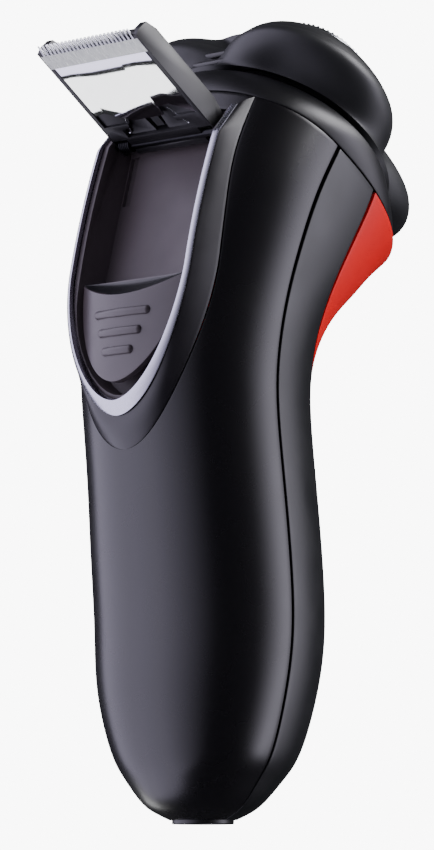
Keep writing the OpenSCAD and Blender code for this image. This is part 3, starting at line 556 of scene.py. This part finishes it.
def metal(name, colour, other, roughness, line, stretch=(1, 1, 1), depth=0.0004, spread=0.06):
    """Metal or plating: lines mm apart and drawn out by stretch vary its tone and gloss."""
    material = bpy.data.materials.new(name)
    material.use_nodes = True
    tree = material.node_tree
    tree.nodes.clear()
    place = add(tree, "ShaderNodeTexCoord").outputs["Object"]
    drawn = add(tree, "ShaderNodeMapping", {"Vector": place, "Scale": stretch}).outputs[0]
    grain = add(tree, "ShaderNodeTexNoise", {"Vector": drawn, "Scale": 1 / (line * MM), "Detail": 4.0})
    tone = add(tree, "ShaderNodeMix", {0: grain.outputs["Fac"], 6: linear(colour), 7: linear(other)},
               data_type="RGBA")
    gloss = add(tree, "ShaderNodeMapRange", {"Value": grain.outputs["Fac"], "From Min": 0.3,
                "From Max": 0.7, "To Min": roughness - spread, "To Max": roughness + spread})
    relief = add(tree, "ShaderNodeBump", {"Height": grain.outputs["Fac"], "Strength": 1.0,
                                          "Distance": depth * MM})
    body = add(tree, "ShaderNodeBsdfPrincipled", {
        "Base Color": tone.outputs[2], "Roughness": gloss.outputs[0], "Normal": relief.outputs[0],
        "Metallic": 1.0})
    add(tree, "ShaderNodeOutputMaterial", {"Surface": body.outputs[0]})
    return material


RIM_LAP = 0.12
RIM_SIDE_WIDTH = 1.1
RIM_FOOT_WIDTH = 2.9
RIM_LIFT = 0.35
RIM_SLOPE = 0.4
RIM_CROWN = 0.15


def rim_point(u, v):
    """The rim's face laps the bezel at its outer edge and rises, crowned, to its inner one."""
    outer = rim_edge(v, RIM_HALF + RIM_LAP, RIM_FOOT - RIM_LAP)
    inner = rim_edge(v, RIM_HALF - RIM_SIDE_WIDTH, RIM_FOOT + RIM_FOOT_WIDTH)
    across = inner - outer
    rise = RIM_LIFT + RIM_SLOPE * across.length * u + RIM_CROWN * math.sin(math.pi * u)
    return outer + across * u + Vector((0, rise, 0))


rim = sheet("rim", 8, 150, rim_point)
mirrored(rim)
walled(rim, 1.4, 0.25)
# Satin chrome on ABS: soft, slightly violet reflections with no sharp picture in them.
satin_chrome = metal("satin_chrome", "c3c3cd", "b6b6c2", 0.26, 0.6, depth=0.0003, spread=0.03)
settle(rim, "handle", "rim_chrome", satin_chrome, "trimmer_rim")

# ---------- trimmer bay and release slide ----------
# The bay is a tub of dark ABS that the closed trimmer lies in, with a guide slot beside its
# left wall. Below it a shield-shaped slide with three finger ribs releases the trimmer.

SLOT = ((12.9, 2, 126.8), (15.2, 30, 137.2))
SLIDE_HALF = 14.8
SLIDE_FOOT = 88.3
SLIDE_TOP = 109.3
SLIDE_SHOULDER = 108.0
LIP_SAG = 3.1
FACE_SHARE = 0.7
HOLLOW = 4.2
CROWN_R = 40.0


def bay_floor(z):
    """How far to the rear the tub's floor lies at height z."""
    return 13.4 - (z - 110) * 0.272


def block(name, low, high, axes=Matrix()):
    """Cube primitive between two corners, in mm."""
    bpy.ops.object.select_all(action="DESELECT")
    bpy.ops.mesh.primitive_cube_add(size=MM, location=[(a + b) / 2 * MM for a, b in zip(low, high)],
                                    scale=[b - a for a, b in zip(low, high)])
    piece = bpy.context.object
    piece.name = name
    return in_axes(piece, axes)


def copy_of(node, name, edge):
    """A new piece from a CAD node's mesh: merged, its flat faces joined, its edges rounded."""
    piece = bpy.data.objects.new(name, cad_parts[node].data.copy())
    bpy.context.scene.collection.objects.link(piece)
    merge(piece)
    only(piece)
    bpy.ops.object.mode_set(mode="EDIT")
    bpy.ops.mesh.select_all(action="SELECT")
    bpy.ops.mesh.dissolve_limited(angle_limit=math.radians(1))
    bpy.ops.object.mode_set(mode="OBJECT")
    if edge:
        rounded(piece, edge, 2, 32)
    return piece


tub = copy_of("trimmer_tub", "tub", 0)
slot = block("slot_cutter", SLOT[0], SLOT[1])
for corner in slot.data.vertices:
    if corner.co.y < 10 * MM:
        corner.co.y = (bay_floor(corner.co.z / MM) - 1.0) * MM
cut(tub, slot)
rounded(tub, 0.15, 2, 32)
# Dark ABS with a violet cast, spark-eroded: an even matt floor that catches side light.
bay_plastic = moulded("eroded_abs_violet", "4c4446", "423b3d", 0.5, 0.3, 0.004)
settle(tub, "handle", "tub_dark", bay_plastic, "trimmer_tub")


def crown_y(x, z):
    """How far to the rear the slide's crowned face lies."""
    return 23.6 - CROWN_R + math.sqrt(CROWN_R ** 2 - x * x) - (z - 96) * 0.11


def slide_point(u, v):
    """The outer face goes up to the curved lip, then hollows inwards to a straight edge."""
    side = math.sin(math.radians(90 * (2 * u - 1)))
    x = -SLIDE_HALF * side
    turn = math.asin(min(abs(side) ** (1 / FOOT_SPREAD), 1))
    low = SLIDE_SHOULDER - (SLIDE_SHOULDER - SLIDE_FOOT) * max(math.cos(turn), 0) ** FOOT_DROP
    lip = max(SLIDE_TOP - LIP_SAG * (1 - side * side), low + 0.3)
    q = min(v / FACE_SHARE, 1)
    z = low + (lip - low) * q
    y = crown_y(x, z)
    if v > FACE_SHARE:
        q = (v - FACE_SHARE) / (1 - FACE_SHARE)
        z = lip + (SLIDE_TOP + 0.4 - lip) * q
        y -= HOLLOW * (1 - side * side) ** 0.7 * math.sin(math.pi / 2 * q) + 0.3 * q
    return Vector((x, y, z))


slide = sheet("slide", 60, 40, slide_point)
walled(slide, 1.6, 0.22)
# Painted ABS, violet grey with a fine metallic grain: a silky sheen over a darker body.
violet_satin = moulded("satin_paint_violet", "474042", "3d3739", 0.36, 0.18, 0.003)
settle(slide, "trimmer_slide", "slide_violet", violet_satin, "trimmer_slide")
# The hollow above the lip takes the dark satin black instead of the violet paint: painted shade that
# darkens the hollow as if it lay in shadow.
slide.data.materials.append(black_satin)
for face in slide.data.polygons:
    x, y, z = face.center / MM
    if crown_y(x, z) - y > 0.25 and face.normal.z > 0.3 and z > 100:
        face.material_index = 1

RIB_R = 0.95
for i in range(3):
    rib_z = 102.4 - 3.9 * i
    rib_half = 7.2 - 1.8 * i
    bpy.ops.object.select_all(action="DESELECT")
    bpy.ops.mesh.primitive_uv_sphere_add(segments=24, ring_count=16, radius=RIB_R * MM,
                                         rotation=(0, math.radians(90), 0))
    rib = bpy.context.object
    rib.name = f"slide_rib_{i + 1}"
    in_axes(rib, Matrix())
    for point in rib.data.vertices:
        x = point.co.x / MM + math.copysign(rib_half, point.co.x) * (abs(point.co.x) > 1e-6)
        point.co.x = x * MM
        point.co.y = point.co.y * 0.85 + (crown_y(x, rib_z) - 0.05) * MM
        point.co.z += rib_z * MM
    smooth(rib, 60)
    settle(rib, "trimmer_slide", "slide_violet", violet_satin)

# ---------- collar ----------
# The ring between the handle and the head, moulded in black ABS and polished. It is welded
# to both covers and flares a little at mid height.

HEAD_TILT = 38.0
HEAD_AXES = Matrix.Translation((0, -17.7, 141)) @ Matrix.Rotation(math.radians(HEAD_TILT), 4, "X")
NECK_A = 28.9
NECK_B = 24.8
NECK_SHIFT = -1.7
HEAD_GAP = 1.4
COLLAR_WALL = 2.2


def collar_point(u, v):
    """u from the front round one side to the rear, v from the handle up to the head."""
    angle = -90 + 180 * u
    t = math.radians(angle)
    low = skin(TOP, angle)
    high = HEAD_AXES @ Vector((NECK_A * math.cos(t), NECK_SHIFT + NECK_B * math.sin(t), -HEAD_GAP))
    out = HEAD_AXES.to_3x3() @ Vector((math.cos(t), math.sin(t), 0))
    return low + (high - low) * (0.03 + 0.97 * v) + out * (2.4 * v * (1 - v))


collar = sheet("collar", 100, 14, collar_point)
mirrored(collar)
walled(collar, COLLAR_WALL, 0.3)
# Polished black ABS: deep black with a broad soft highlight.
black_polished = moulded("polished_abs_black", "131315", "0f0f11", 0.4, 0.3, 0.001)
settle(collar, "handle", "collar_black", black_polished, "neck_collar")

# ---------- head ----------
# The cutter head: a black ABS shell that swells from the oval neck into three lobes, one
# round each guard, with two grip ridges at the rear. It lifts off along the drive axis.

LOBES = (60, 180, 300)
LOBE_R = 16.0
GUARD_R = 11.0
DECK = 12.6
HEAD_WALL = 1.8
LOBE_SEAT = 15.6
WAIST_R = 20.0
BLEND = 14
# The lobed outline lies this far forward, all of it reached this far under the deck
LEAN = 1.9
LEAN_DEPTH = 4.2
# Height, share of the lobed outline against the oval one, radius of the lobes
HEAD_PROFILE = curve_through([
    (0, 0, 16), (1.6, 0.4, 17.8), (3.6, 0.75, 18.8), (6, 0.95, 19.2), (8.4, 1, 18.3),
    (10.4, 1, 16.4), (11.8, 1, 14.4), (12.6, 1, 12.9)])


def oval(a):
    """Distance from the drive axis to the neck's oval at an angle from the rear."""
    s, c = math.sin(a), math.cos(a)
    qa = s * s / NECK_A ** 2 + c * c / NECK_B ** 2
    qb = -2 * c * NECK_SHIFT / NECK_B ** 2
    qc = NECK_SHIFT ** 2 / NECK_B ** 2 - 1
    return (-qb + math.sqrt(qb * qb - 4 * qa * qc)) / (2 * qa)


def trefoil(a, lobe):
    """Distance from the drive axis to the three-lobed outline at an angle from the rear."""
    total = WAIST_R ** BLEND
    for turn in LOBES:
        d = a - math.radians(turn)
        q = lobe * lobe - (LOBE_SEAT * math.sin(d)) ** 2
        if math.cos(d) > 0 and q > 0:
            total += (LOBE_SEAT * math.cos(d) + math.sqrt(q)) ** BLEND
    return total ** (1 / BLEND)


def head_point(a, k):
    """Point of the head's side at an angle from the rear and a station of the profile."""
    z, share, lobe = HEAD_PROFILE(k)
    share = min(max(share, 0), 1)
    r = oval(a) * (1 - share) + trefoil(a, lobe) * share
    shift = -LEAN * min(1, max(DECK - z, 0) / LEAN_DEPTH) * share
    return Vector((r * math.sin(a), r * math.cos(a) + shift, z))


SIDE_PART = 0.75
DECK_STATION = 7


def head_half(u, v):
    """Half of the shell: up the side first, then across the deck to the middle."""
    a = math.pi * (1 - u)
    if v <= SIDE_PART:
        return head_point(a, DECK_STATION * v / SIDE_PART)
    edge = head_point(a, DECK_STATION)
    inward = (1 - v) / (1 - SIDE_PART)
    return Vector((edge.x * inward, edge.y * inward, DECK))


head = sheet("head_shell", 110, 72, head_half)
mirrored(head)
in_axes(head, HEAD_AXES)
apply(head, "SOLIDIFY", thickness=HEAD_WALL * MM, offset=-1)
cut(head, *[rod("bore", GUARD_R + 0.3, 4, 20, HEAD_AXES, LOBE_R * math.sin(math.radians(a)),
                LOBE_R * math.cos(math.radians(a)), 96) for a in LOBES])
smooth(head, 40)
# Matt black ABS, coarser mould texture: light spreads wide and soft over it.
black_matt = moulded("matt_abs_black", "1d1e1f", "191a1b", 0.46, 0.3, 0.004)
settle(head, "head", "head_black", black_matt, "head_frame")

for i, (ridge_z, ridge_half) in enumerate(((5.0, 6.5), (2.2, 5.5))):
    bpy.ops.object.select_all(action="DESELECT")
    bpy.ops.mesh.primitive_uv_sphere_add(segments=24, ring_count=16, radius=MM,
                                         rotation=(0, math.radians(90), 0))
    ridge = bpy.context.object
    ridge.name = f"head_ridge_{i + 1}"
    in_axes(ridge, Matrix())
    level = min(range(701), key=lambda n: abs(HEAD_PROFILE(n / 100)[0] - ridge_z)) / 100
    seat = head_point(0, level).y
    for point in ridge.data.vertices:
        x = point.co.x / MM + math.copysign(ridge_half, point.co.x) * (abs(point.co.x) > 1e-6)
        point.co = Vector((x, seat + point.co.y / MM * 0.9 + 0.1, ridge_z + point.co.z / MM * 0.8)) * MM
    in_axes(ridge, HEAD_AXES)
    smooth(ridge, 60)
    settle(ridge, "head", "collar_black", black_polished)

# ---------- guards ----------
# Three round guards of stainless steel, stamped and then slotted: a raised track with
# radial slots round a dished cap. Each floats in its lobe on its cutter's spring.

GUARD_TOP = 14.6
BARS = 60
# Stamped stainless steel: bright, with fine turning lines.
guard_steel = metal("stamped_stainless", "c9cbd0", "b4b6bb", 0.22, 0.25)
for i, angle in enumerate(LOBES):
    x, y = LOBE_R * math.sin(math.radians(angle)), LOBE_R * math.cos(math.radians(angle))
    skirt = revolved("skirt", [(GUARD_R - 0.5, 10), (GUARD_R, 10), (GUARD_R, GUARD_TOP - 1),
                               (10.95, GUARD_TOP - 0.7), (10.8, GUARD_TOP - 0.4), (10.55, GUARD_TOP - 0.15),
                               (10.2, GUARD_TOP - 0.02), (9.9, GUARD_TOP), (9.9, GUARD_TOP - 0.4),
                               (10.2, GUARD_TOP - 0.7), (GUARD_R - 0.5, GUARD_TOP - 1.1)], HEAD_AXES, x, y)
    cap = revolved("cap", [(7.2, GUARD_TOP - 0.5), (7.2, GUARD_TOP), (6.9, GUARD_TOP - 0.02),
                           (6.6, GUARD_TOP - 0.15), (6.3, GUARD_TOP - 0.5), (6, GUARD_TOP - 0.8),
                           (5.5, GUARD_TOP - 0.95), (4, GUARD_TOP - 1), (2.6, GUARD_TOP - 0.92),
                           (2.2, GUARD_TOP - 0.75), (1.6, GUARD_TOP - 0.65), (0, GUARD_TOP - 0.62)],
                   HEAD_AXES, x, y)
    bars = []
    for k in range(BARS):
        turn = 2 * math.pi * k / BARS
        bar = block("bar", (7.0, -0.22, GUARD_TOP - 0.45), (10.7, 0.22, GUARD_TOP - 0.02), Matrix())
        bar.data.transform(Matrix.Translation((x * MM, y * MM, 0)) @ Matrix.Rotation(turn, 4, "Z"))
        bars.append(in_axes(bar, HEAD_AXES))
    guard = join(skirt, cap, *bars)
    guard.name = f"guard_{i + 1}_steel"
    smooth(guard, 30)
    settle(guard, f"guard_{i + 1}", "guard_steel", guard_steel, f"guard_{i + 1}")

# ---------- trimmer ----------
# The pop-up trimmer: a black ABS arm on a steel pin, with a polished steel cover plate and
# a fixed comb. A toothed blade shuttles under the comb, pressed on by two wire springs.

FLAP_AXES = Matrix.Translation((0, 9.2, 139.4)) @ Matrix.Rotation(math.radians(37.4), 4, "X")
FLAP_HALF = 15.0
FLAP_LEN = 29.9
TEETH = 25
PITCH = 2 * (FLAP_HALF - 0.4) / TEETH

housing = copy_of("trimmer_housing", "trimmer_arm_shell", 0)
cut(housing, block("tip_cutter", (-13.2, 26.4, -2), (13.2, 31, 8), FLAP_AXES))
rounded(housing, 0.25, 2, 32)
# Silky black ABS: dark, with a soft light along each rounded edge.
black_silk = moulded("silk_finish_abs_black", "0d0c0f", "0a0a0c", 0.42, 0.4, 0.0006)
settle(housing, "trimmer_flap", "flap_black", black_silk, "trimmer_housing")


def toothed(name, low, high, tip_y, width, tip, shift):
    """Strip with a row of teeth that taper to tip, a share of their width."""
    strip = block(name, low, high)
    teeth = []
    for k in range(TEETH + 1):
        x = -FLAP_HALF + 0.4 + k * PITCH - PITCH / 2 + shift
        if abs(x) > high[0] - width / 2:
            continue
        tooth = block("tooth", (x - width / 2, high[1] - 0.05, low[2]), (x + width / 2, tip_y, high[2]))
        for corner in tooth.data.vertices:
            if corner.co.y > (tip_y - 0.1) * MM:
                corner.co.x = (x + (corner.co.x / MM - x) * tip) * MM
                corner.co.z = (high[2] + (corner.co.z / MM - high[2]) * 0.5) * MM
        teeth.append(tooth)
    return in_axes(join(strip, *teeth), FLAP_AXES)


comb = toothed("comb_strip", (-FLAP_HALF + 0.4, 23.7, -0.95), (FLAP_HALF - 0.4, 27.4, -0.4),
               FLAP_LEN, 0.62, 0.35, PITCH / 2)
# Ground stainless steel: brushed across, so its reflections smear along the teeth.
blade_steel = metal("ground_stainless", "c4c5c9", "a3a4a9", 0.3, 0.2, (1, 0.1, 0.1))
smooth(comb)
settle(comb, "trimmer_flap", "blade_steel", blade_steel)
cutter_blade = toothed("shuttle_blade", (-12.4, 24.6, -0.3), (12.4, 27.0, 0.25), FLAP_LEN - 0.5,
                       0.6, 0.4, 0)
smooth(cutter_blade)
settle(cutter_blade, "trimmer_blade", "blade_steel", blade_steel, "trimmer_cutter")

PLATE_HALF = 13.7
PLATE_TOP = 23.8
PLATE_LEVEL = -0.88
PLATE_FOOT = ((-PLATE_HALF, 6.3), (-8.6, 9.4), (-5, 9.3), (-4.5, 6.9), (4.5, 6.9), (10.6, 10),
              (PLATE_HALF, 9.6))


def plate_point(u, v):
    """The plate's lower edge steps round the hinge and the drive arm; its upper one is straight."""
    x = PLATE_HALF * (2 * u - 1)
    for (x0, y0), (x1, y1) in zip(PLATE_FOOT, PLATE_FOOT[1:]):
        if x0 <= x <= x1 + 1e-6:
            foot = y0 + (y1 - y0) * (x - x0) / (x1 - x0)
    return Vector((x, foot + (PLATE_TOP - foot) * v, PLATE_LEVEL))


plate = sheet("cover_plate", 274, 4, plate_point)
apply(plate, "SOLIDIFY", thickness=0.5 * MM, offset=1)
in_axes(plate, FLAP_AXES)
rounded(plate, 0.12, 2, 32)
# Polished stainless steel: a mirror with the faintest haze.
mirror_steel = metal("polished_stainless", "e6e7ea", "dedfe3", 0.07, 1.5, depth=0.00005, spread=0.02)
settle(plate, "trimmer_flap", "plate_mirror", mirror_steel, "trimmer_comb")

# ---------- charging inlet ----------
# A black ABS plug seat pressed into the foot of the handle, with two brass pins.

socket = copy_of("inlet_socket", "inlet", 0.3)
settle(socket, "handle", "socket_black", black_satin, "inlet_socket")

# ---------- parts inside, and small hardware ----------
# These are true to the drawing as they stand, so each keeps its mesh and gets the finish of
# its own stock: acetal gears, brass pinion, drawn steel can, glass-epoxy board and so on.

acetal = moulded("moulded_acetal", "e6e2d6", "dcd7c8", 0.38, 0.5, 0.002, ior=1.48)
brass = metal("turned_brass", "cfa64c", "b98f3a", 0.25, 0.15)
bright_steel = metal("turned_steel", "b9bbbf", "9fa1a6", 0.25, 0.15)
can_steel = metal("drawn_steel_can", "a4a7ac", "8f9297", 0.3, 0.3, (1, 1, 0.05))
spring_steel = metal("drawn_spring_wire", "c6c7ca", "b0b1b5", 0.2, 0.1)
floor_plastic = moulded("glass_filled_nylon", "2f2e33", "28272b", 0.5, 0.4, 0.005)
frame_plastic = moulded("natural_abs", "c8c6c0", "bdbab2", 0.45, 0.4, 0.003)
cell_wrap = moulded("shrink_sleeve_green", "2f7a4b", "286b41", 0.3, 2.0, 0.004)
tape = moulded("polyester_tape", "d9cfa0", "cbc08c", 0.4, 1.2, 0.004)
board_mask = moulded("solder_mask_green", "1e5a34", "17492a", 0.3, 0.8, 0.004)
dark_moulding = moulded("moulded_pbt_black", "1a1a1c", "151517", 0.42, 0.3, 0.003)
nitrile = moulded("nitrile_rubber", "141414", "1b1b1b", 0.62, 0.3, 0.006, ior=1.52)
red_sleeve = moulded("pvc_red", "a02020", "8e1a1a", 0.4, 0.8, 0.003)
black_sleeve = moulded("pvc_black", "1c1c1c", "151515", 0.4, 0.8, 0.003)
ivory = moulded("moulded_acetal_ivory", "d7d3cb", "cbc6bc", 0.38, 0.4, 0.002, ior=1.48)
black_oxide = metal("blackened_steel", "2a2a2d", "1e1e20", 0.35, 0.3)
zinc = metal("zinc_plate", "a3a6ab", "8b8e93", 0.35, 0.5)

lens_clear = bpy.data.materials.new("clear_acrylic")
lens_clear.use_nodes = True
lens_tree = lens_clear.node_tree
lens_tree.nodes.clear()
lens_place = add(lens_tree, "ShaderNodeTexCoord").outputs["Object"]
lens_haze = add(lens_tree, "ShaderNodeTexNoise", {"Vector": lens_place, "Scale": 1 / (0.5 * MM)})
lens_gloss = add(lens_tree, "ShaderNodeMapRange", {"Value": lens_haze.outputs["Fac"],
                                                   "To Min": 0.1, "To Max": 0.2})
lens_body = add(lens_tree, "ShaderNodeBsdfPrincipled", {
    "Base Color": linear("d8e6f4"), "Roughness": lens_gloss.outputs[0], "IOR": 1.49,
    "Transmission Weight": 0.7})
add(lens_tree, "ShaderNodeOutputMaterial", {"Surface": lens_body.outputs[0]})

STOCK = {
    "charge_light": lens_clear, "slide_spring": spring_steel, "trimmer_springs": spring_steel,
    "hinge_spring": black_oxide, "trimmer_hinge_pin": black_oxide,
    "trimmer_drive_arm": dark_moulding, "head_base": dark_moulding, "cutter_retainer": ivory,
    "retainer_latch": zinc, "cutter_1": bright_steel, "cutter_2": bright_steel,
    "cutter_3": bright_steel, "chamber_floor": floor_plastic, "spindle_seals": nitrile,
    "chamber_screws": zinc, "drive_gear_1": acetal, "drive_gear_2": acetal,
    "drive_gear_3": acetal, "drive_pinion": brass, "motor": can_steel, "motor_bracket": zinc,
    "motor_screws": zinc, "inner_frame": frame_plastic, "battery_cells": cell_wrap,
    "battery_straps": tape, "circuit_board": board_mask, "power_switch": dark_moulding,
    "board_screws": zinc, "battery_leads": red_sleeve, "motor_leads": black_sleeve,
    "inlet_pins": brass}
for name, material in STOCK.items():
    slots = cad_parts[name].data.materials
    for place in range(len(slots)):
        slots[place] = material
